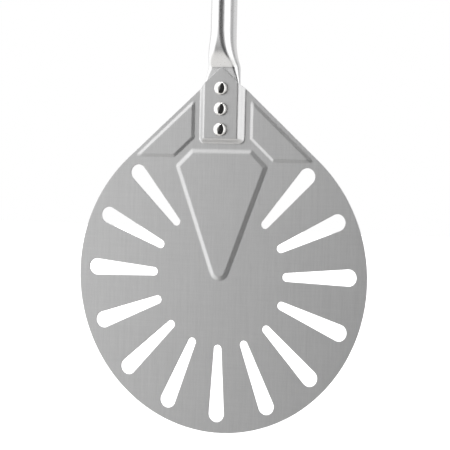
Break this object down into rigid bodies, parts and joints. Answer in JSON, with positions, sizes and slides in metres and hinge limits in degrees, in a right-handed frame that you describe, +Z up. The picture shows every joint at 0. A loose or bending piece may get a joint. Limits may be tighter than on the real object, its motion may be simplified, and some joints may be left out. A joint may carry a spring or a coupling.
{
  "type": "perforated turning pizza peel",
  "caption": "Round perforated turning peel: pressed sheet blade with tapered slots, riveted to a flattened tube handle with a sliding sleeve grip, rear grip and hanging ring.",
  "frame": {"origin": "on the axis of the handle tube, level with the lowest lip of the blade", "axes": "+Z up along the handle from the blade to the hanging ring, -Y out of the blade's food side, +X to the right when looking at the food side"},
  "size_m": [0.23, 0.036, 0.8446],
  "materials": {
    "blade_steel": "fine vertical grain, satin",
    "tube_aluminium": "polished and anodised, slightly grainy",
    "rivet_steel": "bright polished",
    "fastener_steel": "plain zinc plated",
    "ring_steel": "polished wire",
    "black_nylon": "moulded, fine texture",
    "grip_rubber": "matte, fine texture"
  },
  "bodies": {
    "peel": {"blade": "blade_steel", "handle_tube": "tube_aluminium", "rivet_lower": "rivet_steel", "rivet_middle": "rivet_steel", "rivet_upper": "rivet_steel", "stop_collar": "black_nylon", "collar_screw": "fastener_steel", "rear_grip": "grip_rubber", "end_cap": "black_nylon", "cap_screw": "fastener_steel"},
    "sleeve": {"sleeve_liner": "black_nylon", "sleeve_retainer": "black_nylon"},
    "turning_grip": {"sleeve_grip": "grip_rubber"},
    "ring": {"hang_ring": "ring_steel"}
  },
  "joints": [
    {"name": "sleeve_slide", "type": "slide", "parent": "peel", "child": "sleeve", "axis": [0, 0, 1], "range_m": [0, 0.14]},
    {"name": "grip_spin", "type": "hinge", "parent": "sleeve", "child": "turning_grip", "pos_m": [0, 0, 0.48], "axis": [0, 0, 1], "continuous": true},
    {"name": "ring_swing", "type": "hinge", "parent": "peel", "child": "ring", "pos_m": [0, 0, 0.815], "axis": [0, 1, 0], "range_deg": [-105, 105]}
  ]
}
